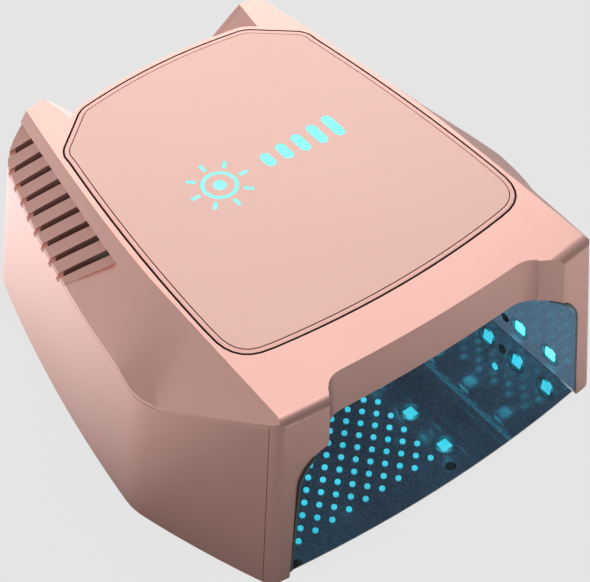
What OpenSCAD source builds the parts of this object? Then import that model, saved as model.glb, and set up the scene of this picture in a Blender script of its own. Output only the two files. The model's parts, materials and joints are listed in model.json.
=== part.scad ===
// Cordless LED nail lamp: a chamfered arch-shaped housing over a mirror-lined hand chamber.
// Depth is measured from the front corners of the housing; place() moves it to the centre.

/* [Housing] */
// Height of the top face at the front edge
top_z = 98; // [97:0.5:99]
// Wall thickness of the outer shells
wall = 2.6; // [2.2:0.2:2.8]
// Half width of the housing at the front corners, on the floor
front_half = 90.8; // [90:0.2:91.6]
// Half width at the widest point of the skirt, on the floor
side_half = 113.9; // [113:0.3:115]
// Depth of the rear wall, on the floor
rear_y = 239; // [238:0.5:240]
// Height of the skirt's lower edge above the floor
foot_gap = 1; // [0.8:0.1:1.2]
// Width of the groove between the parts of the outer skin
seam = 0.3; // [0.2:0.05:0.4]
// Thickness of the shoulder's edge that shows above the skirt
lip = 0.8; // [0.6:0.1:1.4]
// Half width of the separate rear panel
panel_x = 66; // [64:1:68]

/* [Top plate] */
// Half width of the top plate near its front
plate_half = 75; // [74:0.2:75.4]
// Width of the trim ring around the plate
ring_w = 2.2; // [1.8:0.1:2.4]
// Width of the shadow groove outside the ring
groove_w = 0.8; // [0.5:0.1:1]
// Thickness of the plate
plate_t = 2.2; // [1.8:0.2:2.2]

/* [Chamber] */
// Depth of the hand chamber
chamber_d = 166; // [160:1:166]
// Thickness of the reflector sheets
sheet_t = 1.2; // [0.8:0.1:1.3]
// Radius of the rounded ceiling corners
ceil_r = 20; // [19:0.5:20]
// Side of a square emitter
chip_w = 5.4; // [4:0.2:5.6]
// Spacing of the emitters along the side walls
wall_pitch = 20.2; // [19:0.2:20.6]
// Number of emitters on each side wall
wall_count = 7; // [3:1:7]
// Pitch of the staggered light points in the ceiling
bead_pitch = 5.05; // [4.9:0.05:5.2]

/* [Vents] */
// Number of gaps in each louvre
gap_count = 9; // [5:1:9]
// Distance between the gaps
gap_pitch = 8.42; // [8.2:0.02:8.5]
// Width of a gap
gap_w = 2.5; // [1.8:0.1:2.7]

/* [Controls] */
// Travel of the push buttons
button_travel = 1.2; // [0.8:0.1:1.4]
// Radius of the power button
power_r = 5; // [4.4:0.1:5.2]
// Radius of a timer button
timer_r = 4; // [3.4:0.1:4.2]

/* [Fan] */
// Outer side of the cooling fan
fan_w = 50; // [46:1:50]
// Radius of the fan shaft
shaft_r = 1.5; // [1.2:0.1:1.6]
// Running clearance of the rotor on its shaft
shaft_gap = 0.05; // [0.03:0.01:0.08]

/* [Hidden] */
$fn = 48;
y0 = -116.91;
top_rise = 0.0335;
top_a = atan(top_rise);
fan_y = 106;
wall_a = 84.29;
recess_a = 43.92;

module place() translate([0, y0, 0]) children();
module both() { children(); mirror([1, 0, 0]) children(); }

// ---- plan outline of the housing: drafted, gently convex sides that meet in a soft bend ----
function smin(a, b, k) = min(a, b) - pow(max(k - abs(a - b), 0) / k, 2) * k / 4;
function side_x(y, z, t) = smin(front_half + 0.415 * y - 0.00118 * y * y - z * (0.1 + 0.0004 * min(max(y, 0), 30)),
    side_half - 0.092 * (y - 70) - 0.00065 * (y - 70) * (y - 70) - z * 0.103, 2) - t;
function front_y(x, z, t) = -6 + 6 * x * x / 8100 + 0.034 * z + t;
function back_y(x, z, t) = rear_y - 0.0015 * x * x - 0.2 * z - t;
function corner_f(z, t, y = 0, n = 6) = n == 0 ? y : corner_f(z, t, front_y(side_x(y, z, t), z, t), n - 1);
function corner_b(z, t, y = 220, n = 12) = n == 0 ? y
    : corner_b(z, t, (y + back_y(side_x(y, z, t), z, t)) / 2, n - 1);
function bez(a, b, c, s) = a * (1 - s) * (1 - s) + b * 2 * s * (1 - s) + c * s * s;
side_steps = [0, .05, .1, .15, .19, .22, .24, .255, .27, .285, .3, .315, .33, .35, .38, .42, .47, .52, .57, .62,
    .67, .72, .77, .82, .87, .91, .96, 1];
function half_plan(z, t) = let (yf = corner_f(z, t), xf = side_x(yf, z, t), yb = corner_b(z, t),
        xb = side_x(yb, z, t), rf = 3.6, rb = 9)
    concat(
        [for (x = [0 : 14 : 70]) [x, front_y(x, z, t)]],
        [for (s = [0 : 0.2 : 1]) bez([xf - rf, front_y(xf - rf, z, t)], [xf, yf],
            [side_x(yf + rf, z, t), yf + rf], s)],
        [for (k = [1 : len(side_steps) - 2]) let (y = yf + rf + (yb - rb - yf - rf) * side_steps[k])
            [side_x(y, z, t), y]],
        [for (s = [0 : 0.2 : 1]) bez([side_x(yb - rb, z, t), yb - rb], [xb, yb],
            [xb - rb, back_y(xb - rb, z, t)], s)],
        [for (x = [60 : -12 : 12]) [x, back_y(x, z, t)]],
        [[0, back_y(0, z, t)]]);
function plan(z, t) = let (h = half_plan(z, t), n = len(h))
    concat(h, [for (i = [n - 2 : -1 : 1]) [-h[i][0], h[i][1]]]);
// closed solid through a list of levels, each a ring of as many plan points
module loft(rings, zs) loft3([for (k = [0 : len(rings) - 1]) [for (p = rings[k]) [p[0], p[1], zs[k]]]]);
module loft3(rings) {
    n = len(rings[0]); m = len(rings);
    polyhedron(
        points = [for (r = rings) each r],
        faces = concat(
            [[for (i = [0 : n - 1]) i]],
            [[for (i = [n - 1 : -1 : 0]) (m - 1) * n + i]],
            [for (k = [0 : m - 2]) for (i = [0 : n - 1]) let (j = (i + 1) % n)
                each [[k * n + i, (k + 1) * n + i, (k + 1) * n + j], [k * n + i, (k + 1) * n + j, k * n + j]]]),
        convexity = 6);
}
module prism(t, z0 = foot_gap) { zs = [z0, 36, 72, 108]; loft([for (z = zs) plan(z, t)], zs); }

// ---- the surfaces that cut the prism ----
// sloping shoulder: straight across, steeper at the front quarter and again towards the rear
function edge_x(y) = 81 - 0.022 * y - 0.0086 * pow(max(0, y - 90), 1.5);
function slope_m(y) = 1 + 0.0031 * max(0, y - 70) + 0.22 * min(1, max(0, (84 - y) / 26));
function shoulder_z(x, y) = top_z + top_rise * y - (x - edge_x(y)) * slope_m(y);
function rim_z(y, lo = 40, hi = 110, n = 18) = n == 0 ? (lo + hi) / 2 : let (z = (lo + hi) / 2)
    shoulder_z(side_x(y, z, 0), y) > z ? rim_z(y, z, hi, n - 1) : rim_z(y, lo, z, n - 1);
// floor of the louvre pocket: flush with the shoulder at its lower rim, sunk at its upper edge
function slot_m(y, sunk) = let (zr = rim_z(y), xr = side_x(y, zr, 0), xu = edge_x(y) + 2.5)
    (shoulder_z(xu, y) - sunk - zr) / (xr - xu);
function slot_z(x, y, sunk) = let (zr = rim_z(y), xr = side_x(y, zr, 0)) zr - 0.1 + (xr - x) * slot_m(y, sunk);
across = [20, 56, 64, 71, 78, 85, 92, 99, 106, 150];
module above_shoulder(drop) both() loft3([for (y = [270, 236, 222, 212, 202, 192, 180, 168, 156, 144, 132, 120, 108, 96,
        84, 76, 67, 58, 40, 20, -30]) concat([for (x = across) [x, y, shoulder_z(x, y) - drop * sqrt(1 + pow(slope_m(y), 2))]],
        [[150, y, 280], [20, y, 280]])]);
module above_slot(drop, sunk = 2.9) both() loft3([for (y = [215, 208, 200, 192, 180, 168, 156, 144, 132, 120, 108])
        concat([for (x = across) [x, y, slot_z(x, y, sunk) - drop * sqrt(1 + pow(slot_m(y, sunk), 2))]],
        [[150, y, 280], [20, y, 280]])]);
module on_slope() translate([80, 117.5, 97]) rotate([-5.3, 49, 0]) children();
module on_top() translate([0, 0, top_z]) rotate([top_a, 0, 0]) children();
module on_recess() translate([0, 212.5, 75]) rotate([-recess_a, 0, 0]) children();
module above_top(drop) on_top() translate([-200, -100, -drop]) cube([400, 450, 60]);
module front_roll(t) translate([0, 672, 0]) rotate_extrude($fn = 120) polygon(concat(
    [[0, -10], [679.2 - t, -10], [675 - t, 93.2]],
    [for (a = [10 : 10 : 90]) [670 + (5 - t) * cos(a), 93.2 + (5 - t) * sin(a)]],
    [[500, 104.4 - t], [0, 125 - t]]));
// hand-grip recess between the two rear horns, behind the plate: its sides slope in, then stand upright
module recess(e) difference() {
    loft3([[[-29.6 - e, 150, 40], [29.6 + e, 150, 40], [43.9 + e, 260, 40], [-43.9 - e, 260, 40]],
        [[-29.6 - e, 150, 85], [29.6 + e, 150, 85], [43.9 + e, 260, 85], [-43.9 - e, 260, 85]],
        [[-66 - e, 150, 129.4], [66 + e, 150, 129.4], [80.3 + e, 260, 129.4], [-80.3 - e, 260, 129.4]]]);
    linear_extrude(135) polygon(outline(ring_w + groove_w + 1.8 - e));
    on_recess() translate([-100, -150, -200 - e]) cube([200, 250, 200]);
}
// notch in the front that leaves the visor set back between the pillars
function notch_ring(z, e) = let (xo = 62 + (97 - z) * 0.14 + 1.35 * e, xi = 52.7 - (97.8 - z) * 0.045 + 0.7 * e,
        yv = 10.6 + e, k = (xo - xi) / (yv + 1 - e), xe = xi + k * (yv + 25))
    concat([[xe, -25]], [for (s = [0 : 0.2 : 1]) bez([xi + k * 4.5, yv - 4.5], [xi, yv],
            [xi - 6, 8.7 + e + 0.0007 * (xi - 6) * (xi - 6)], s)],
        [for (x = [36 : -12 : -36]) [x, 8.7 + e + 0.0007 * x * x]],
        [for (s = [1 : -0.2 : 0]) bez([-xi - k * 4.5, yv - 4.5], [-xi, yv],
            [6 - xi, 8.7 + e + 0.0007 * (xi - 6) * (xi - 6)], s)], [[-xe, -25]]);
module notch(e, z0) { zs = [z0, 110]; loft([for (z = zs) notch_ring(z, e)], zs); }
// chamber section, offset inwards by t
module liner_area(t, z0) {
    intersection() {
        translate([-90, z0]) square([180, 100]);
        union() {
            polygon([[-82 + t, 0], [82 - t, 0], [82 - t - 5.549, 55.49], [-82 + t + 5.549, 55.49]]);
            hull_free_top(t);
        }
    }
}
module hull_free_top(t) {
    both() translate([56.55, 53.5]) circle(r = ceil_r - t, $fn = 96);
    translate([-56.55, 40]) square([113.1, 13.5 + ceil_r - t]);
    translate([-75, 40]) square([150, 13.4]);
}
module along_y(ya, yb) translate([0, yb, 0]) rotate([90, 0, 0]) linear_extrude(yb - ya) children();

// ---- outer skin ----
module skin() difference() {
    intersection() { prism(0); front_roll(0); }
    above_shoulder(0);
    above_top(0);
    recess(0);
    notch(0, 50);
    along_y(-20, 15) liner_area(-0.15, -5);
}
module cavity() difference() {
    intersection() { prism(wall, -1); front_roll(wall); }
    above_shoulder(wall);
    above_top(4.8);
    recess(wall);
    intersection() { notch(wall, 64); translate([-90, -30, 64]) cube([180, 80, 60]); }
}
// band of the housing that the skirt panels take: up to a thin lip under the shoulder edge
module skirt_zone(g) difference() {
    translate([-200, 3.7 + g, -5]) rotate([-2, 0, 0]) cube([400, 300, 140]);
    above_shoulder(lip + g);
    above_top(lip + g);
}
// louvre areas on the sloping shoulders: the gaps run at 36 degrees to the slope
module louvre_area(g) polygon([[2.2 + g, -1 + g], [26.6, 17.8 + g], [60, 43.4 + g], [60, 140], [-15.7 + g, 140]]);
module louvre_cut(g) both() on_slope() translate([0, 0, -4.4]) linear_extrude(30) louvre_area(g);
module gaps(d) for (i = [0 : gap_count - 1])
    on_slope() rotate(36) translate([1 + gap_start(i), 4.2 + gap_pitch * i - gap_w / 2, -d]) cube([60, gap_w, 20]);
// raised lip of each blade, just behind a gap
module lips() for (i = [0 : gap_count - 1])
    on_slope() rotate(36) translate([-10, 4.2 + gap_pitch * i + gap_w / 2, -9]) cube([90, 1.9, 24]);
// where a gap's centre line leaves the upper edge of the louvre area
function gap_start(i) = let (c = 4.2 + gap_pitch * i) (2.07 + c * (sin(36) - 0.1266 * cos(36))) / (cos(36) + 0.1266 * sin(36)) - 0.8;
module facet_wedge() on_slope() polyhedron(
    points = [[33, -15.6, 6], [1.7, -1.6, 6], [28, 18.9, 6], [33, -15.6, 1.1], [1.7, -1.6, -0.8], [28, 18.9, 1.1]],
    faces = [[0, 1, 2], [3, 5, 4], [0, 3, 4, 1], [1, 4, 5, 2], [2, 5, 3, 0]]);
module bosses() both() for (p = [[88, 28, 96], [92.5, 122, 90], [62, 206, 106]])
    translate([p[0], p[1], 6]) cylinder(r = 3.2, h = p[2] - 6);
module boss_holes() both() for (p = [[88, 28], [92.5, 122], [62, 206]])
    translate([p[0], p[1], 5]) cylinder(r = 1.35, h = 14);

module top_shell() color([0.90, 0.69, 0.64]) place() difference() {
    union() {
        difference() {
            skin();
            cavity();
            difference() { skirt_zone(0.1); prism(wall + 0.1, -1); }
        }
        intersection() { bosses(); difference() { prism(wall + 0.4); above_shoulder(1.5); above_top(3); } }
    }
    on_top() translate([0, 0, -plate_t - 0.2]) linear_extrude(12) polygon(outline(ring_w + groove_w));
    on_top() translate([0, 0, -20]) linear_extrude(30) polygon([[-56, 44], [56, 44], [65, 60], [63, 130], [56, 166],
        [38, 187], [-38, 187], [-56, 166], [-63, 130], [-65, 60]]);
    louvre_cut(0);
    both() facet_wedge();
    on_recess() translate([-31.3, -9.3, -1.4]) cube([62.6, 18.6, 10]);
    on_recess() translate([-29.5, -7, -8]) cube([59, 14, 18]);
    boss_holes();
}
module skirt() difference() {
    intersection() {
        difference() { skin(); prism(wall, -1); }
        skirt_zone(seam + 0.1);
    }
    intersection() { louvre_cut(-0.4); above_slot(1.2); }
    both() gaps(2.4);
    translate([0, 0, 24]) rotate([-90, 0, 0]) cylinder(r = 5.6, h = 300);
}
module side_skirt_right() color([0.93, 0.76, 0.72]) place() intersection() { skirt(); translate([panel_x, -50, -5]) cube([100, 400, 140]); }
module side_skirt_left() color([0.93, 0.76, 0.72]) place() intersection() { skirt(); translate([-100 - panel_x, -50, -5]) cube([100, 400, 140]); }
module rear_panel() color([0.93, 0.76, 0.72]) place() intersection() { skirt(); translate([seam - panel_x, 150, -5]) cube([2 * panel_x - 2 * seam, 200, 140]); }
module louvre() difference() {
    intersection() {
        on_slope() translate([0, 0, -8]) linear_extrude(20) louvre_area(0.25);
        union() {
            intersection() { prism(0.1); above_slot(0.9); }
            intersection() { prism(wall + 0.3); above_slot(3); }
            intersection() { prism(wall + 0.3); above_slot(5.5); on_slope() translate([0, 0, -4.2]) linear_extrude(20) louvre_area(0.25); }
        }
    }
    difference() { above_slot(0); lips(); }
    above_slot(0, 1.6);
    gaps(8);
}
module vent_louvre_right() color([0.78, 0.58, 0.54]) place() louvre();
module vent_louvre_left() color([0.78, 0.58, 0.54]) place() mirror([1, 0, 0]) louvre();

// ---- top plate, ring and lit emblem ----
function plate_x(y) = plate_half - 0.025 * (y - 60) - 0.00055 * (y - 60) * (y - 60);
function plate_half_line() = concat(
    [for (x = [0 : 10 : 60]) [x, 33.2 + 0.0012 * x * x]],
    [for (s = [0.15 : 0.15 : 1]) bez([62, 37.9], [plate_half + 0.3, 39.5], [plate_half, 54], s)],
    [for (y = [60 : 8 : 172]) [plate_x(y), y]],
    [for (s = [0.1 : 0.2 : 0.9]) bez([65.2, 175.4], [64.4, 178.3], [62.3, 180.2], s)],
    [for (s = [0.1 : 0.2 : 0.9]) bez([46.6, 193.4], [44.2, 195.2], [41.5, 195.8], s)],
    [for (x = [36 : -9 : 9]) [x, 199.3 - 0.0021 * x * x]], [[0, 199.3]]);
function outline0() = let (h = plate_half_line(), n = len(h))
    concat(h, [for (i = [n - 2 : -1 : 1]) [-h[i][0], h[i][1]]]);
function unit(v) = v / norm(v);
// moves each outline point outwards by d along the mean of its two edge normals
function outline(d) = let (p = outline0(), n = len(p)) [for (i = [0 : n - 1])
    let (a = unit(p[i] - p[(i + n - 1) % n]), b = unit(p[(i + 1) % n] - p[i]),
        m = unit([a[1] + b[1], -a[0] - b[0]]), c = max(0.5, m * [b[1], -b[0]])) p[i] + m * d / c];
module emblem2d() translate([0, 122]) {
    // sun sign: ring, centre and eight rays
    translate([-24, 0]) {
        difference() { circle(r = 8.4); circle(r = 6.6); }
        circle(r = 3);
        for (a = [0 : 45 : 315]) rotate(a) translate([10.4, -0.9]) square([4.4, 1.8]);
    }
    // level bar: a row of rounded segments
    for (i = [0 : 4]) translate([2 + i * 9, 0]) {
        square([5, 4 + i * 1.4], center = true);
        translate([0, (4 + i * 1.4) / 2]) circle(r = 2.5);
        translate([0, -(4 + i * 1.4) / 2]) circle(r = 2.5);
    }
}
module top_plate() color([0.97, 0.80, 0.76]) place() on_top() difference() {
    translate([0, 0, -plate_t]) linear_extrude(plate_t + 0.3) polygon(outline(-0.2));
    translate([0, 0, -0.9]) linear_extrude(5) emblem2d();
}
module trim_ring() color([0.93, 0.74, 0.69]) place() on_top() translate([0, 0, -plate_t]) linear_extrude(plate_t + 0.2)
    difference() { polygon(outline(ring_w)); polygon(outline(0.1)); }
module emblem_light_guide() color([0.35, 0.95, 0.95]) place() on_top() translate([0, 0, -0.9]) linear_extrude(1.2) emblem2d();
module emblem_led_board() color([0.9, 0.9, 0.88]) place() on_top() {
    translate([-40, 108, -5]) cube([80, 28, 1.6]);
    for (x = [-34 : 8 : 38]) for (y = [116, 128]) translate([x - 1.5, y - 1, -3.4]) cube([3, 2, 0.8]);
}

// ---- base ----
module chassis_rim() color([0.16, 0.15, 0.15]) place() difference() {
    intersection() { prism(wall + 0.4, 0.9); translate([-150, 11, foot_gap]) cube([300, 260, 4.7]); }
    translate([-88.8, 35.4, 0]) cube([177.6, 140.6, 2.7]);
    translate([-82.5, -20, 0]) cube([165, 188.6, 10]);
    both() for (p = [[88, 28], [92.5, 122], [62, 206]]) translate([p[0], p[1], 0]) {
        translate([0, 0, -1]) cylinder(r = 3.1, h = 3.9);
        cylinder(r = 1.5, h = 12);
    }
    both() for (p = [[97, 52], [72, 217]]) translate([p[0], p[1], -1]) cylinder(r = 6.2, h = 3);
    both() for (y = [44, 152]) translate([85.6, y, 2]) cylinder(r = 2.7, h = 2.9);
}
module base_tray() color([0.55, 0.56, 0.58]) place() difference() {
    union() {
        intersection() {
            translate([-81.2, -9, 1.2]) cube([162.4, 176.5, 1.8]);
            translate([0, 621.6, 1]) cylinder(r = 624.1, h = 3, $fn = 200);
            linear_extrude(6) polygon([[-79.2, -20], [79.2, -20], [81, 12], [81, 170], [-81, 170], [-81, 12]]);
        }
        translate([-88.2, 36, 1.2]) cube([176.4, 139.4, 1.2]);
    }
    both() for (y = [44, 152]) translate([85.6, y, 0]) cylinder(r = 2.7, h = 1.8);
}
module base_mirror() color([0.25, 0.30, 0.34]) place() intersection() {
    translate([-81.2, -9, 3]) cube([162.4, 176.2, 0.6]);
    translate([0, 621.6, 2]) cylinder(r = 626.6, h = 3, $fn = 200);
    linear_extrude(6) polygon([[-79.2, -20], [79.2, -20], [80.8, 12], [80.8, 170], [-80.8, 170], [-80.8, 12]]);
}
module tray_discs() color([0.7, 0.7, 0.72]) place() both() for (y = [44, 152])
    translate([85.6, y, 1.2]) difference() { cylinder(r = 2.6, h = 0.6); translate([0, 0, -1]) cylinder(r = 0.8, h = 3); }
module body_magnets() color([0.75, 0.75, 0.78]) place() both() for (y = [44, 152])
    translate([85.6, y, 2.8]) cylinder(r = 2.6, h = 2);
module rubber_feet() color([0.1, 0.1, 0.1]) place() both() for (p = [[97, 52], [72, 217]]) translate([p[0], p[1], 0]) {
    cylinder(r = 6, h = 1.9);
}
module case_screws() color([0.6, 0.6, 0.62]) place() both() for (p = [[88, 28], [92.5, 122], [62, 206]])
    translate([p[0], p[1], 1.2]) difference() {
        union() { cylinder(r = 2.9, h = 1.6); cylinder(r = 1.25, h = 14); }
        translate([-2, -0.35, -1]) cube([4, 0.7, 1.8]);
        translate([-0.35, -2, -1]) cube([0.7, 4, 1.8]);
    }

// ---- chamber lining and emitters ----
wall_zs = 15.2;
module on_wall(y, z) translate([82 - 0.1 * z, y, z]) rotate([0, wall_a, 0]) children();
function wall_y(i) = 15.8 + wall_pitch * i;
ceil_spots = [for (i = [0 : 3]) 53 + 26 * i];
module wall_spots() for (i = [0 : wall_count - 1]) on_wall(wall_y(i), wall_zs) children();
module small_spots() for (y = [48, 88.4, 128.8]) on_wall(y, 28) children();
module ceiling_spots() both() for (y = ceil_spots) translate([53.5, y, 53.5 + ceil_r]) children();
module sheet2d() difference() { liner_area(0, 4); liner_area(sheet_t, -9); }
module reflector_side() difference() {
    along_y(-0.8, chamber_d + sheet_t) intersection() { sheet2d(); translate([61.5, 0]) square([40, 90]); }
    wall_spots() translate([0, 0, -5]) cylinder(r = 6, h = 10);
    small_spots() translate([0, 0, -5]) cylinder(r = 2.1, h = 10);
    on_wall(45.6, 14.6) translate([0, 0, -5]) cylinder(r = 2.5, h = 10);
    notch(0.2, 50);
}
module reflector_right() color([0.40, 0.46, 0.50]) place() reflector_side();
module reflector_left() color([0.40, 0.46, 0.50]) place() mirror([1, 0, 0]) reflector_side();
module reflector_ceiling() color([0.40, 0.46, 0.50]) place() difference() {
    along_y(11.6, chamber_d + sheet_t) intersection() { sheet2d(); translate([-61.5, 40]) square([123, 60]); }
    ceiling_spots() translate([0, 0, -5]) cylinder(r = 6, h = 10);
    both() translate([47, 40.8, 60]) cylinder(r = 2.7, h = 30);
}
module reflector_back() color([0.40, 0.46, 0.50]) place() difference() {
    along_y(chamber_d - sheet_t, chamber_d) liner_area(sheet_t + 0.1, 4);
}
module cup() rotate_extrude() polygon([[5.6, -sheet_t], [4.1, 2.6], [4.9, 2.6], [5.9, 0], [5.9, -sheet_t]]);
module chip() {
    translate([-chip_w / 2, -chip_w / 2, -0.9]) cube([chip_w, chip_w, 0.7]);
    translate([0, 0, -0.5]) cylinder(r = 1.6, h = 3.1);
}
module emitter_cups() color([0.75, 0.80, 0.82]) place() { both() wall_spots() cup(); ceiling_spots() cup(); }
module emitter_chips() color([0.3, 1, 1]) place() {
    both() wall_spots() chip();
    both() small_spots() translate([0, 0, -1.4]) cylinder(r = 1.8, h = 4);
    ceiling_spots() chip();
}
module light_points() color([0.3, 1, 1]) place() for (j = [0 : 17]) for (i = [0 : 17]) if ((i + j) % 2 == 0)
    translate([42.5 - i * bead_pitch + 0.3 * j, 50.5 + j * 5.4, 53.5 + ceil_r - sheet_t - 0.7]) cylinder(r = 1.4, h = 0.7, $fn = 24);
module sensor_windows() color([0.03, 0.03, 0.04]) place() {
    both() on_wall(45.6, 14.6) translate([0, 0, -sheet_t - 0.2]) cylinder(r = 2.4, h = 3);
    both() translate([47, 40.8, 53.5 + ceil_r - sheet_t - 0.2]) cylinder(r = 2.6, h = 3);
}
module led_board_ceiling() color([0.92, 0.93, 0.92]) place() difference() {
    translate([-62, 32, 56.1 + ceil_r]) cube([124, 112, 1.2]);
    translate([-44, 46, 70]) cube([88, 8, 12]);
}
module side_board() difference() {
    on_wall(8, wall_zs) translate([-17, 0, 2.6]) cube([26, wall_count * wall_pitch - 2, 1.2]);
}
module led_board_right() color([0.92, 0.93, 0.92]) place() side_board();
module led_board_left() color([0.92, 0.93, 0.92]) place() mirror([1, 0, 0]) side_board();
module heat_spreader() color([0.72, 0.74, 0.76]) place() {
    translate([-74, 36, 57.6 + ceil_r]) cube([148, 124, 1.8]);
    for (x = [-50 : 10 : 50]) translate([x - 0.6, 40, 59.4 + ceil_r]) cube([1.2, 116, 4]);
}
module spacer_posts() color([0.78, 0.66, 0.32]) place() both() for (p = [[70.5, 62, 94.9], [67, 150, 98]])
    translate([p[0], p[1], 59.4 + ceil_r]) difference() {
        cylinder(r = 2.6, h = p[2] - 59.4 - ceil_r);
        translate([0, 0, -1]) cylinder(r = 1.1, h = 9);
    }

// ---- cooling fan ----
module fan_at() translate([0, fan_y, 63.9 + ceil_r]) children();
module fan_frame() color([0.12, 0.12, 0.13]) place() fan_at() {
    difference() {
        translate([-fan_w / 2, -fan_w / 2, 0]) cube([fan_w, fan_w, 10]);
        translate([0, 0, -1]) cylinder(r = fan_w / 2 - 1.5, h = 12, $fn = 96);
        for (a = [45 : 90 : 315]) rotate(a) translate([fan_w * 0.64, 0, -1]) cylinder(r = 1.8, h = 12);
    }
    difference() {
        union() {
            cylinder(r = 8, h = 1.6);
            for (a = [30 : 120 : 270]) rotate(a) translate([6, -1.2, 0]) cube([fan_w / 2 - 7, 2.4, 1.4]);
        }
        translate([0, 0, -1]) cylinder(r = shaft_r, h = 12);
    }
}
module fan_shaft() color([0.8, 0.8, 0.82]) place() fan_at() cylinder(r = shaft_r, h = 8);
module fan_rotor() color([0.16, 0.16, 0.17]) place() fan_at() translate([0, 0, 2]) difference() {
    union() {
        cylinder(r = 8.6, h = 7.4);
        for (a = [0 : 360 / 7 : 359]) rotate(a) translate([7.6, 0, 3.7]) rotate([38, 0, 0])
            translate([0, -3.6, -0.45]) cube([fan_w / 2 - 10.4, 7.2, 0.9]);
    }
    translate([0, 0, -1]) cylinder(r = shaft_r + shaft_gap, h = 7.2);
}

// ---- power and electronics ----
cell_x = 93.6;
module cells() for (z = [16.6, 35.4]) translate([cell_x - (z - 16.6) * 0.07, 50, z]) rotate([-90, 0, 0]) {
    cylinder(r = 9.1, h = 64.4);
    translate([0, 0, 64.4]) cylinder(r = 2.8, h = 0.8);
}
module battery_cells() color([0.25, 0.45, 0.35]) place() both() cells();
module holder() {
    for (y = [47.4, 115.4]) translate([cell_x - 8, y, 5.9]) cube([14, 2.4, 40]);
    translate([cell_x - 8, 47.4, 5.9]) cube([14, 70.4, 1.2]);
}
module battery_holder_right() color([0.13, 0.13, 0.13]) place() holder();
module battery_holder_left() color([0.13, 0.13, 0.13]) place() mirror([1, 0, 0]) holder();
module main_board() color([0.10, 0.35, 0.22]) place() difference() {
    union() {
        translate([-58, 180, 12]) cube([116, 42, 1.6]);
        both() for (y = [184, 218]) translate([54, y, 5.8]) cylinder(r = 2.6, h = 6.2);
    }
    both() for (y = [184, 218]) translate([54, y, 4]) cylinder(r = 1.2, h = 14);
}
module board_components() color([0.2, 0.2, 0.22]) place() {
    for (p = [[-40, 192, 5, 14], [-26, 192, 5, 14], [20, 194, 4, 10], [32, 210, 4, 10]])
        translate([p[0], p[1], 13.6]) cylinder(r = p[2], h = p[3]);
    for (p = [[-6, 200, 12, 12, 1.6], [-44, 208, 16, 8, 5], [4, 186, 8, 6, 1.2], [40, 190, 10, 10, 6]])
        translate([p[0], p[1], 13.6]) cube([p[2], p[3], p[4]]);
}
module dc_inlet() color([0.08, 0.08, 0.08]) place() translate([0, 0, 24]) rotate([-90, 0, 0]) difference() {
    union() {
        translate([0, 0, 223]) cylinder(r = 5.4, h = 10.2);
        translate([0, 0, 218]) cylinder(r = 6.8, h = 9.4);
    }
    translate([0, 0, 228.2]) cylinder(r = 3.1, h = 20);
    difference() { translate([0, 0, 222]) cylinder(r = 2.75, h = 7); translate([0, 0, 221]) cylinder(r = 1, h = 6.6); }
}
// leads held inside the housing, from the cells and the inlet to the main board
module lead(pts, r) for (i = [0 : len(pts) - 2]) {
    d = pts[i + 1] - pts[i]; l = norm(d);
    translate(pts[i]) rotate([0, acos(d[2] / l), atan2(d[1], d[0])]) cylinder(r = r, h = l);
    if (i > 0) translate(pts[i]) sphere(r = r + 0.3);
}
module wiring_harness() color([0.6, 0.1, 0.1]) place() {
    both() lead([[87, 117.8, 30], [87, 160, 30], [70, 182, 22], [52, 192, 17], [52, 192, 13.6]], 1.2);
    lead([[0, 217.8, 24], [0, 212, 22], [-10, 206, 20], [-10, 206, 13.6]], 1.2);
}

// ---- rear control panel in the recess, buttons and their board ----
button_x = [-22.6, -8, 3.5, 15];
module control_panel() color([0.12, 0.11, 0.11]) place() on_recess() difference() {
    translate([-31, -9, -1.4]) cube([62, 18, 2]);
    translate([button_x[0], 0, -5]) cylinder(r = power_r + 0.3, h = 10);
    for (i = [1 : 3]) translate([button_x[i], 0, -5]) cylinder(r = timer_r + 0.3, h = 10);
    translate([21.4, -2, -5]) cube([7.2, 4, 10]);
}
module button(x, r) on_recess() translate([x, 0, 0]) {
    translate([0, 0, -2.6]) cylinder(r = r, h = 4.6);
    translate([0, 0, -2.6]) cylinder(r = r + 1, h = 1);
}
module power_button() color([0.85, 0.85, 0.86]) place() button(button_x[0], power_r);
module timer_button_short() color([0.75, 0.75, 0.77]) place() button(button_x[1], timer_r);
module timer_button_medium() color([0.75, 0.75, 0.77]) place() button(button_x[2], timer_r);
module timer_button_long() color([0.75, 0.75, 0.77]) place() button(button_x[3], timer_r);
module button_board() color([0.10, 0.35, 0.22]) place() on_recess() {
    translate([-29, -6.6, -8.6]) cube([58, 13.2, 1.4]);
    for (x = button_x) translate([x - 2.5, -2.5, -7.2]) cube([5, 5, 3.2 - (button_travel - 1.2)]);
    translate([23, -1, -7.2]) cube([4, 2, 1]);
}
module charge_indicator() color([0.8, 0.95, 0.9]) place() on_recess() {
    translate([21.6, -1.8, -1.4]) cube([6.8, 3.6, 2.2]);
    translate([23, -1, -6]) cube([4, 2, 4.6]);
}

top_shell();
side_skirt_left();
side_skirt_right();
rear_panel();
vent_louvre_left();
vent_louvre_right();
top_plate();
trim_ring();
emblem_light_guide();
emblem_led_board();
chassis_rim();
base_tray();
base_mirror();
tray_discs();
body_magnets();
rubber_feet();
case_screws();
reflector_ceiling();
reflector_left();
reflector_right();
reflector_back();
emitter_cups();
emitter_chips();
light_points();
sensor_windows();
led_board_ceiling();
led_board_left();
led_board_right();
heat_spreader();
spacer_posts();
fan_frame();
fan_shaft();
fan_rotor();
battery_cells();
battery_holder_left();
battery_holder_right();
main_board();
board_components();
control_panel();
power_button();
timer_button_short();
timer_button_medium();
timer_button_long();
button_board();
charge_indicator();
dc_inlet();
wiring_harness();
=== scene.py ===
import json
import math
import bpy
from mathutils import Matrix, Vector

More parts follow.
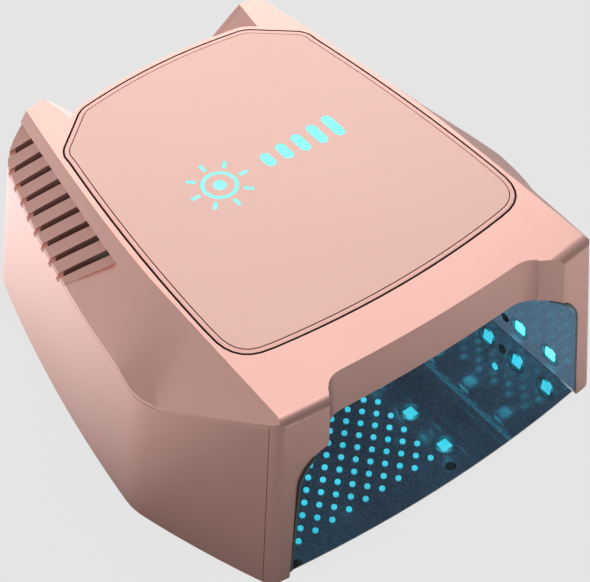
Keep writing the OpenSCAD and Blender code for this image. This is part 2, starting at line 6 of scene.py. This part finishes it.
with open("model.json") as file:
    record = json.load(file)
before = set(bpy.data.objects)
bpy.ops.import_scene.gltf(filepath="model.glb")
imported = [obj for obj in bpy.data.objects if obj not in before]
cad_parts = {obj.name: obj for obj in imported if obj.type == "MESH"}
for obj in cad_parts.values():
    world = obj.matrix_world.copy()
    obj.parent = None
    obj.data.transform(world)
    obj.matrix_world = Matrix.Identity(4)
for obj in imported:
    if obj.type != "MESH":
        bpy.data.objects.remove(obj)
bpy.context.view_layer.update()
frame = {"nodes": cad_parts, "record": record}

NODES = frame["nodes"]
Y0 = -0.11691         # depth datum of the housing's front corners in the row frame
scene = bpy.context.scene


# ------------------------------------------------------------------ shader helpers
class Mat:
    """A small node-tree writer for one material."""

    def __init__(self, name):
        self.m = bpy.data.materials.new(name)
        self.m.use_nodes = True
        self.t = self.m.node_tree
        self.t.nodes.clear()
        self.out = self.t.nodes.new("ShaderNodeOutputMaterial")
        self.co = self.t.nodes.new("ShaderNodeTexCoord").outputs["Object"]

    def node(self, kind, **values):
        n = self.t.nodes.new(kind)
        for k, v in values.items():
            setattr(n, k, v)
        return n

    def link(self, a, b):
        self.t.links.new(a, b)

    def scaled(self, s, rot=(0, 0, 0)):
        n = self.node("ShaderNodeMapping")
        n.inputs["Scale"].default_value = s
        n.inputs["Rotation"].default_value = rot
        self.link(self.co, n.inputs["Vector"])
        return n.outputs["Vector"]

    def noise(self, scale, detail=3.0, rough=0.5, vec=None, distort=0.0):
        n = self.node("ShaderNodeTexNoise")
        n.inputs["Scale"].default_value = scale
        n.inputs["Detail"].default_value = detail
        n.inputs["Roughness"].default_value = rough
        n.inputs["Distortion"].default_value = distort
        self.link(vec if vec is not None else self.co, n.inputs["Vector"])
        return n.outputs["Fac"]

    def voronoi(self, scale, feature="F1", vec=None):
        n = self.node("ShaderNodeTexVoronoi")
        n.feature = feature
        n.inputs["Scale"].default_value = scale
        self.link(vec if vec is not None else self.co, n.inputs["Vector"])
        return n.outputs["Distance"]

    def ramp(self, fac, stops):
        n = self.node("ShaderNodeValToRGB")
        e = n.color_ramp.elements
        while len(e) < len(stops):
            e.new(0.5)
        for el, (p, c) in zip(e, stops):
            el.position = p
            el.color = (*c, 1) if len(c) == 3 else c
        self.link(fac, n.inputs["Fac"])
        return n.outputs["Color"]

    def remap(self, fac, a, b, lo, hi):
        n = self.node("ShaderNodeMapRange")
        for i, v in ((1, a), (2, b), (3, lo), (4, hi)):
            n.inputs[i].default_value = v
        self.link(fac, n.inputs[0])
        return n.outputs[0]

    def bump(self, height, strength, distance=0.0002, normal=None):
        n = self.node("ShaderNodeBump")
        n.inputs["Strength"].default_value = strength
        n.inputs["Distance"].default_value = distance
        self.link(height, n.inputs["Height"])
        if normal is not None:
            self.link(normal, n.inputs["Normal"])
        return n.outputs["Normal"]

    def surface(self, color=None, rough=None, normal=None, **consts):
        p = self.node("ShaderNodeBsdfPrincipled")
        for k, v in consts.items():
            p.inputs[k].default_value = v
        for socket, v in (("Base Color", color), ("Roughness", rough)):
            if v is None:
                continue
            if hasattr(v, "node"):
                self.link(v, p.inputs[socket])
            else:
                p.inputs[socket].default_value = (*v, 1) if socket == "Base Color" else v
        if normal is not None:
            self.link(normal, p.inputs["Normal"])
        self.link(p.outputs[0], self.out.inputs["Surface"])
        self.p = p
        return self.m


def mixed(a, b, k):
    return tuple(x * (1 - k) + y * k for x, y in zip(a, b))


def paint(name, col, rough=0.34, metal=0.30, flake=0.05, coat=0.25):
    """Satin rose-gold coating: fine flakes, faint mottling and a light orange-peel."""
    m = Mat(name)
    mott = m.noise(26.0, 4.0, 0.55)
    grain = m.noise(2600.0, 2.0, 0.6)
    big = m.noise(7.0, 2.0)
    c1 = m.ramp(mott, [(0.3, mixed(col, (0, 0, 0), 0.025)), (0.7, mixed(col, (1, 1, 1), 0.02))])
    c2 = m.ramp(grain, [(0.35, mixed(col, (0, 0, 0), flake * 1.4)), (0.65, mixed(col, (1, 1, 1), flake))])
    mix = m.node("ShaderNodeMix", data_type="RGBA")
    mix.inputs[0].default_value = 0.5
    m.link(c1, mix.inputs[6])
    m.link(c2, mix.inputs[7])
    r = m.remap(big, 0.3, 0.7, rough - 0.025, rough + 0.03)
    peel = m.noise(420.0, 2.0, 0.5)
    n = m.bump(grain, 0.05, 0.00004)
    n = m.bump(peel, 0.05, 0.00006, n)
    return m.surface(mix.outputs[2], r, n, Metallic=metal, **{"Coat Weight": coat, "Coat Roughness": 0.18})


def moulded(name, col, rough=0.5, grain=900.0, depth=0.12):
    m = Mat(name)
    g = m.noise(grain, 3.0, 0.6)
    w = m.noise(30.0, 3.0)
    c = m.ramp(w, [(0.3, mixed(col, (0, 0, 0), 0.15)), (0.7, mixed(col, (1, 1, 1), 0.05))])
    r = m.remap(g, 0.3, 0.7, rough - 0.06, rough + 0.08)
    return m.surface(c, r, m.bump(g, depth, 0.0001), Metallic=0.0)


def metal(name, col, rough=0.3, stretch=(1, 60, 1), scale=60.0, metallic=1.0, depth=0.04):
    m = Mat(name)
    v = m.scaled(stretch)
    s = m.noise(scale, 5.0, 0.6, v)
    w = m.noise(18.0, 3.0)
    c = m.ramp(w, [(0.3, mixed(col, (0, 0, 0), 0.10)), (0.7, mixed(col, (1, 1, 1), 0.06))])
    r = m.remap(s, 0.3, 0.7, max(0.02, rough - 0.07), rough + 0.08)
    return m.surface(c, r, m.bump(s, depth, 0.00005), Metallic=metallic)


def dark_mirror(name, col, rough=0.07, mott=0.2, metallic=1.0, glow_tint=(0.0, 0.0, 0.0), wave=0.03, front=1.0):
    """Tinted mirror film: a clear reflection, faintly mottled, under a thin speckled emission that is a painted glow
    standing in for light caught in the film.
    """
    m = Mat(name)
    cloud = m.noise(30.0, 5.0, 0.62, distort=0.6)
    c = m.ramp(cloud, [(0.32, mixed(col, (0, 0, 0), mott)), (0.68, mixed(col, (1, 1, 1), 0.04))])
    fine = m.noise(260.0, 3.0)
    r = m.remap(fine, 0.3, 0.7, rough * 0.6, rough * 1.5)
    # painted glow: fine speckle noise varies the glow tint that goes into the emission
    glow_speckle = m.noise(1500.0, 2.0, 0.7)
    hc = m.ramp(glow_speckle, [(0.38, mixed(glow_tint, (0, 0, 0), 0.45)), (0.66, mixed(glow_tint, (1, 1, 1), 0.02))])
    if front > 1.0:
        # painted light: the speckled glow grows stronger towards the open front, standing in for light coming in
        sep = m.node("ShaderNodeSeparateXYZ")
        m.link(m.co, sep.inputs[0])
        k = m.remap(sep.outputs["Y"], Y0 + 0.10, Y0 - 0.01, 1.0, front)
        sc = m.node("ShaderNodeVectorMath", operation="SCALE")
        m.link(hc, sc.inputs[0])
        m.link(k, sc.inputs["Scale"])
        hc = sc.outputs[0]
    ripple = m.noise(60.0, 2.0)
    mat = m.surface(c, r, m.bump(ripple, wave, 0.0001), Metallic=metallic)
    # the speckled glow tint is emitted: painted light on the film
    m.link(hc, m.p.inputs["Emission Color"])
    m.p.inputs["Emission Strength"].default_value = 1.0
    return mat


def glow(name, col, strength, core=None):
    m = Mat(name)
    n = m.noise(160.0, 2.0)
    c = m.ramp(n, [(0.3, mixed(col, (0, 0, 0), 0.02)), (0.7, core or mixed(col, (1, 1, 1), 0.08))])
    e = m.node("ShaderNodeEmission")
    m.link(c, e.inputs["Color"])
    e.inputs["Strength"].default_value = strength
    m.link(e.outputs[0], m.out.inputs["Surface"])
    return m.m


def board(name, col):
    """Solder mask with faint copper tracks under it."""
    m = Mat(name)
    br = m.node("ShaderNodeTexBrick")
    br.inputs["Scale"].default_value = 95.0
    br.inputs["Mortar Size"].default_value = 0.012
    br.inputs["Color1"].default_value = (*col, 1)
    br.inputs["Color2"].default_value = (*mixed(col, (1, 1, 1), 0.04), 1)
    br.inputs["Mortar"].default_value = (*mixed(col, (0.9, 0.8, 0.3), 0.18), 1)
    m.link(m.co, br.inputs["Vector"])
    g = m.noise(700.0, 2.0)
    r = m.remap(g, 0.3, 0.7, 0.32, 0.45)
    return m.surface(br.outputs["Color"], r, m.bump(br.outputs["Fac"], 0.1, 0.00005), Metallic=0.0)


ROSE = (0.78, 0.43, 0.36)
MATS = {
    "rose_shell": paint("rose_shell", (0.80, 0.455, 0.395), rough=0.36, metal=0.80, coat=0.1),
    "rose_skirt": paint("rose_skirt", (0.78, 0.42, 0.365), rough=0.34, metal=0.62, coat=0.2),
    # painted shade: the recessed vent inserts get a darker copy of the rose coating
    "rose_louvre": paint("rose_louvre", (0.68, 0.36, 0.31), rough=0.40, metal=0.5, coat=0.05),
    # painted light: the top plate gets a lighter copy of the rose coating, brightened to stand in for the light
    # falling on the top
    "rose_plate": paint("rose_plate", (0.95, 0.56, 0.48), rough=0.42, metal=0.2, coat=0.25),
    "rose_ring": paint("rose_ring", (0.82, 0.45, 0.39), rough=0.36, metal=0.5, coat=0.1),
    # near-black material used as painted shade in the reveals round the trim ring
    "groove": moulded("groove", (0.075, 0.038, 0.033), 0.55, 500.0, 0.05),
    "light_guide": glow("light_guide", (0.28, 0.95, 0.90), 1.1),
    "white_board": board("white_board", (0.80, 0.82, 0.80)),
    "dark_plastic": moulded("dark_plastic", (0.035, 0.035, 0.037), 0.45),
    "tray_metal": metal("tray_metal", (0.62, 0.63, 0.65), 0.28, (60, 1, 1)),
    # the last tint given to each mirror film below is emitted: a painted glow
    "floor_mirror": dark_mirror("floor_mirror", (0.20, 0.27, 0.31), 0.012, glow_tint=(0.003, 0.004, 0.006)),
    "steel": metal("steel", (0.66, 0.66, 0.68), 0.3, (1, 1, 20), 120.0),
    "rubber": moulded("rubber", (0.03, 0.03, 0.03), 0.75, 1200.0, 0.3),
    "reflector": dark_mirror("reflector", (0.24, 0.33, 0.39), 0.12, metallic=0.85, glow_tint=(0.055, 0.095, 0.145), front=1.5),
    "film_edge": moulded("film_edge", (0.03, 0.12, 0.10), 0.15, 300.0, 0.03),
    "mirror_edge": metal("mirror_edge", (0.66, 0.67, 0.70), 0.22, (60, 1, 1)),
    "cup_chrome": dark_mirror("cup_chrome", (0.10, 0.20, 0.24), 0.3, metallic=0.8, glow_tint=(0.028, 0.062, 0.090)),
    "emitter": glow("emitter", (0.04, 0.79, 0.92), 3.0),
    "black_gloss": moulded("black_gloss", (0.006, 0.006, 0.008), 0.12, 300.0, 0.02),
    "aluminium": metal("aluminium", (0.74, 0.75, 0.77), 0.35, (1, 80, 1)),
    "brass": metal("brass", (0.78, 0.60, 0.28), 0.25, (1, 1, 40), 120.0),
    "cell_wrap": moulded("cell_wrap", (0.10, 0.30, 0.24), 0.25, 200.0, 0.05),
    "green_board": board("green_board", (0.02, 0.14, 0.07)),
    "button_chrome": metal("button_chrome", (0.75, 0.75, 0.77), 0.2, (1, 1, 1), 300.0),
    "indicator": moulded("indicator", (0.70, 0.85, 0.80), 0.3, 300.0, 0.05),
    "wire": moulded("wire", (0.35, 0.02, 0.02), 0.5),
}

SLOT = {s["node"]: s["material_slot"] for s in frame["record"]["subparts"]}


# ------------------------------------------------------------------ dressing of the CAD nodes
def dress(o, mat, bevel=0.0, seg=2, angle=32.0, smooth=28.0, weld=True):
    o.data.materials.clear()
    o.data.materials.append(mat)
    for p in o.data.polygons:
        p.use_smooth = True
        p.material_index = 0
    if "custom_normal" in o.data.attributes:
        o.data.attributes.remove(o.data.attributes["custom_normal"])
    if weld:
        w = o.modifiers.new("weld", "WELD")
        w.merge_threshold = 0.00001
    d = o.modifiers.new("planar", "DECIMATE")
    d.decimate_type = "DISSOLVE"
    d.angle_limit = math.radians(0.15)
    if bevel > 0:
        b = o.modifiers.new("bevel", "BEVEL")
        b.width = bevel
        b.segments = seg
        b.limit_method = "ANGLE"
        b.angle_limit = math.radians(angle)
        b.use_clamp_overlap = True
        b.harden_normals = False
        b.miter_outer = "MITER_ARC"
    smooth_by_angle(o, smooth)
    wn = o.modifiers.new("normals", "WEIGHTED_NORMAL")
    wn.keep_sharp = True
    wn.weight = 60


_sba = {}


def smooth_by_angle(o, deg):
    """Geometry nodes: edges sharper than deg stay sharp, the rest is shaded smooth."""
    key = round(deg, 1)
    if key not in _sba:
        g = bpy.data.node_groups.new(f"smooth_{key}", "GeometryNodeTree")
        g.interface.new_socket("Geometry", in_out="INPUT", socket_type="NodeSocketGeometry")
        g.interface.new_socket("Geometry", in_out="OUTPUT", socket_type="NodeSocketGeometry")
        gi, go = g.nodes.new("NodeGroupInput"), g.nodes.new("NodeGroupOutput")
        ea = g.nodes.new("GeometryNodeInputMeshEdgeAngle")
        cmp_ = g.nodes.new("FunctionNodeCompare")
        cmp_.operation = "LESS_EQUAL"
        cmp_.inputs[1].default_value = math.radians(deg)
        g.links.new(ea.outputs["Unsigned Angle"], cmp_.inputs[0])
        s1 = g.nodes.new("GeometryNodeSetShadeSmooth")
        s1.domain = "EDGE"
        s2 = g.nodes.new("GeometryNodeSetShadeSmooth")
        s2.domain = "FACE"
        g.links.new(gi.outputs[0], s1.inputs["Geometry"])
        g.links.new(cmp_.outputs[0], s1.inputs["Shade Smooth"])
        g.links.new(s1.outputs[0], s2.inputs["Geometry"])
        g.links.new(s2.outputs[0], go.inputs[0])
        _sba[key] = g
    m = o.modifiers.new("by_angle", "NODES")
    m.node_group = _sba[key]


BEVEL = {
    "top_shell": 0.0006, "side_skirt_left": 0.0004, "side_skirt_right": 0.0004, "rear_panel": 0.0004, "vent_louvre_left": 0.0003, "vent_louvre_right": 0.0003,
    "top_plate": 0.0003, "trim_ring": 0.0004, "base_tray": 0.0002, "chassis_rim": 0.0003,
    "fan_frame": 0.0004, "fan_rotor": 0.0002, "heat_spreader": 0.0002, "main_board": 0.0002,
    "control_panel": 0.0005, "power_button": 0.0005, "timer_button_short": 0.0004,
    "timer_button_medium": 0.0004, "timer_button_long": 0.0004, "rubber_feet": 0.0004,
    "dc_inlet": 0.0003, "battery_cells": 0.0006, "battery_holder_left": 0.0004,
    "battery_holder_right": 0.0004, "board_components": 0.0003, "case_screws": 0.0002,
}
for name, o in NODES.items():
    dress(o, MATS[SLOT[name]], BEVEL.get(name, 0.0))


def front_edge(o, mat, y_max):
    """The cut edge facing the front has its own look."""
    o.data.materials.append(mat)
    for p in o.data.polygons:
        if p.normal.y < -0.6 and p.center.y < y_max:
            p.material_index = len(o.data.materials) - 1


for name in ("reflector_left", "reflector_right"):
    front_edge(NODES[name], MATS["film_edge"], Y0 + 0.015)
front_edge(NODES["base_mirror"], MATS["mirror_edge"], 0.0)

# the film covers only the chamber side of each sheet; the back is bare dark plastic
for name, away in (("reflector_left", (-1, 0, 0.5)), ("reflector_right", (1, 0, 0.5)), ("reflector_ceiling", (0, 0, 1))):
    sheet = NODES[name].data
    sheet.materials.append(MATS["dark_plastic"])
    for p in sheet.polygons:
        if p.normal.dot(Vector(away)) > 0.4:
            p.material_index = len(sheet.materials) - 1

# painted shade: faces in the narrow reveals round the trim ring get a near-black material in place of their deep
# shade
shell = NODES["top_shell"].data
shell.materials.append(MATS["groove"])
for p in shell.polygons:
    c = p.center
    y = c.y - Y0
    depth = 0.098 + 0.0335 * y - c.z
    if abs(c.x) < 0.0775 and 0.028 < y < 0.203 and 0.0001 < depth < 0.0026:
        if abs(p.normal.z) < 0.5 or (p.normal.z > 0.99 and depth > 0.0005):
            p.material_index = 1
# painted shade: the trim ring's side walls get the same near-black material
ring = NODES["trim_ring"].data
ring.materials.append(MATS["groove"])
for p in ring.polygons:
    if abs(p.normal.z) < 0.5:
        p.material_index = 1

# ------------------------------------------------------------------ studio
floor_mesh = bpy.data.meshes.new("studio_floor")
S = 6.0
floor_mesh.from_pydata([(-S, -S, -0.0004), (S, -S, -0.0004), (S, S, -0.0004), (-S, S, -0.0004)], [], [(0, 1, 2, 3)])
floor = bpy.data.objects.new("studio_floor", floor_mesh)
scene.collection.objects.link(floor)
fm = Mat("studio_floor")
grain = fm.noise(3.0, 3.0)
fc = fm.ramp(grain, [(0.3, (0.78, 0.78, 0.78)), (0.7, (0.80, 0.80, 0.80))])
em = fm.node("ShaderNodeEmission")
fm.link(fc, em.inputs["Color"])
em.inputs["Strength"].default_value = 0.965
df = fm.node("ShaderNodeBsdfDiffuse")
df.inputs["Color"].default_value = (0.03, 0.03, 0.03, 1)
ad = fm.node("ShaderNodeAddShader")
fm.link(em.outputs[0], ad.inputs[0])
fm.link(df.outputs[0], ad.inputs[1])
# seen directly the paper is evenly lit; what it throws back on to the lamp is the lamps' light on its diffuse paper
# plus the painted pools of light below
paper = fm.node("ShaderNodeBsdfDiffuse")
paper.inputs["Color"].default_value = (0.35, 0.35, 0.35, 1)
lp = fm.node("ShaderNodeLightPath")
# painted pool of light: an emissive patch of the table behind and to the left
rot = fm.node("ShaderNodeMapping")
rot.inputs["Rotation"].default_value = (0, 0, math.radians(-24))
fm.link(fm.co, rot.inputs["Vector"])
sp = fm.node("ShaderNodeSeparateXYZ")
fm.link(rot.outputs[0], sp.inputs[0])
patch = fm.remap(sp.outputs["Y"], 0.0, 0.20, 0.10, 1.40)
edge = fm.remap(sp.outputs["Y"], 0.7, 1.3, 1.0, 0.15)
pe = fm.node("ShaderNodeMath", operation="MULTIPLY")
fm.link(patch, pe.inputs[0])
fm.link(edge, pe.inputs[1])
# and a fainter painted pool of light before the opening, to the right
rot2 = fm.node("ShaderNodeMapping")
rot2.inputs["Rotation"].default_value = (0, 0, math.radians(145))
fm.link(fm.co, rot2.inputs["Vector"])
sp2 = fm.node("ShaderNodeSeparateXYZ")
fm.link(rot2.outputs[0], sp2.inputs[0])
patch2 = fm.remap(sp2.outputs["Y"], 0.09, 0.25, 0.0, 0.36)
edge2 = fm.remap(sp2.outputs["Y"], 0.5, 0.9, 1.0, 0.0)
pe2 = fm.node("ShaderNodeMath", operation="MULTIPLY")
fm.link(patch2, pe2.inputs[0])
fm.link(edge2, pe2.inputs[1])
ps = fm.node("ShaderNodeMath", operation="ADD")
fm.link(pe.outputs[0], ps.inputs[0])
fm.link(pe2.outputs[0], ps.inputs[1])
lit = fm.node("ShaderNodeEmission")
fm.link(ps.outputs[0], lit.inputs["Strength"])
both = fm.node("ShaderNodeAddShader")
fm.link(paper.outputs[0], both.inputs[0])
fm.link(lit.outputs[0], both.inputs[1])
mx = fm.node("ShaderNodeMixShader")
fm.link(lp.outputs["Is Camera Ray"], mx.inputs[0])
fm.link(both.outputs[0], mx.inputs[1])
fm.link(ad.outputs[0], mx.inputs[2])
fm.link(mx.outputs[0], fm.out.inputs["Surface"])
floor_mesh.materials.append(fm.m)

world = bpy.data.worlds.new("studio")
scene.world = world
world.use_nodes = True
wt = world.node_tree
wt.nodes.clear()
wo = wt.nodes.new("ShaderNodeOutputWorld")
wb = wt.nodes.new("ShaderNodeBackground")
wc = wt.nodes.new("ShaderNodeTexCoord")


def toward(vec, lo, hi, dark, bright):
    """Sky brightness that grows towards one direction."""
    d = wt.nodes.new("ShaderNodeVectorMath")
    d.operation = "DOT_PRODUCT"
    d.inputs[1].default_value = Vector(vec).normalized()
    wt.links.new(wc.outputs["Generated"], d.inputs[0])
    r = wt.nodes.new("ShaderNodeMapRange")
    r.interpolation_type = "SMOOTHSTEP"
    for i, v in ((1, lo), (2, hi), (3, dark), (4, bright)):
        r.inputs[i].default_value = v
    wt.links.new(d.outputs["Value"], r.inputs[0])
    return r.outputs[0]


def plus(p, q):
    n = wt.nodes.new("ShaderNodeMath")
    n.operation = "ADD"
    wt.links.new(p, n.inputs[0])
    wt.links.new(q, n.inputs[1])
    return n.outputs[0]


sky = plus(plus(toward((0.35, 0.75, 0.45), -0.5, 1.0, 0.07, 0.55), toward((-0.55, 0.83, -0.05), 0.5, 1.0, 0.0, 0.3)),
           toward((0.5, -0.8, 0.2), 0.2, 1.0, 0.0, 0.12))
wt.links.new(sky, wb.inputs["Color"])
wb.inputs["Strength"].default_value = 1.0
wt.links.new(wb.outputs[0], wo.inputs["Surface"])


def softbox(name, pos, target, size, power, color=(1, 1, 1), size_y=None):
    l = bpy.data.lights.new(name, "AREA")
    l.energy = power
    l.color = color
    l.size = size
    if size_y:
        l.shape = "RECTANGLE"
        l.size_y = size_y
    ob = bpy.data.objects.new(name, l)
    scene.collection.objects.link(ob)
    ob.location = pos
    ob.rotation_mode = "QUATERNION"
    ob.rotation_quaternion = (Vector(target) - Vector(pos)).to_track_quat("-Z", "Y")
    return ob


C = (0, 0, 0.05)
softbox("key_rear_right", (0.85, 1.25, 0.85), C, 1.3, 10.5)
softbox("top", (0.1, 0.2, 1.6), C, 1.1, 5.5)

# ------------------------------------------------------------------ camera
cam_data = bpy.data.cameras.new("camera")
cam = bpy.data.objects.new("camera", cam_data)
scene.collection.objects.link(cam)
pos = Vector((-0.3791, -0.4007 + Y0, 0.6993))
tgt = Vector((-0.0069, 0.0922 + Y0, 0.050))
roll = math.radians(-0.81)
fwd = (tgt - pos).normalized()
right = fwd.cross(Vector((0, 0, 1))).normalized()
up = right.cross(fwd)
r2 = math.cos(roll) * right + math.sin(roll) * up
u2 = -math.sin(roll) * right + math.cos(roll) * up
cam.matrix_world = Matrix((
    (r2.x, u2.x, -fwd.x, pos.x),
    (r2.y, u2.y, -fwd.y, pos.y),
    (r2.z, u2.z, -fwd.z, pos.z),
    (0, 0, 0, 1)))
cam_data.sensor_width = 36.0
cam_data.lens = 2020.2 / 590.0 * 36.0
cam_data.shift_x = 0.2 / 590.0
cam_data.shift_y = -0.3 / 590.0
cam_data.clip_start = 0.05
cam_data.clip_end = 50.0
scene.camera = cam
scene.view_settings.view_transform = "Standard"
scene.view_settings.look = "None"
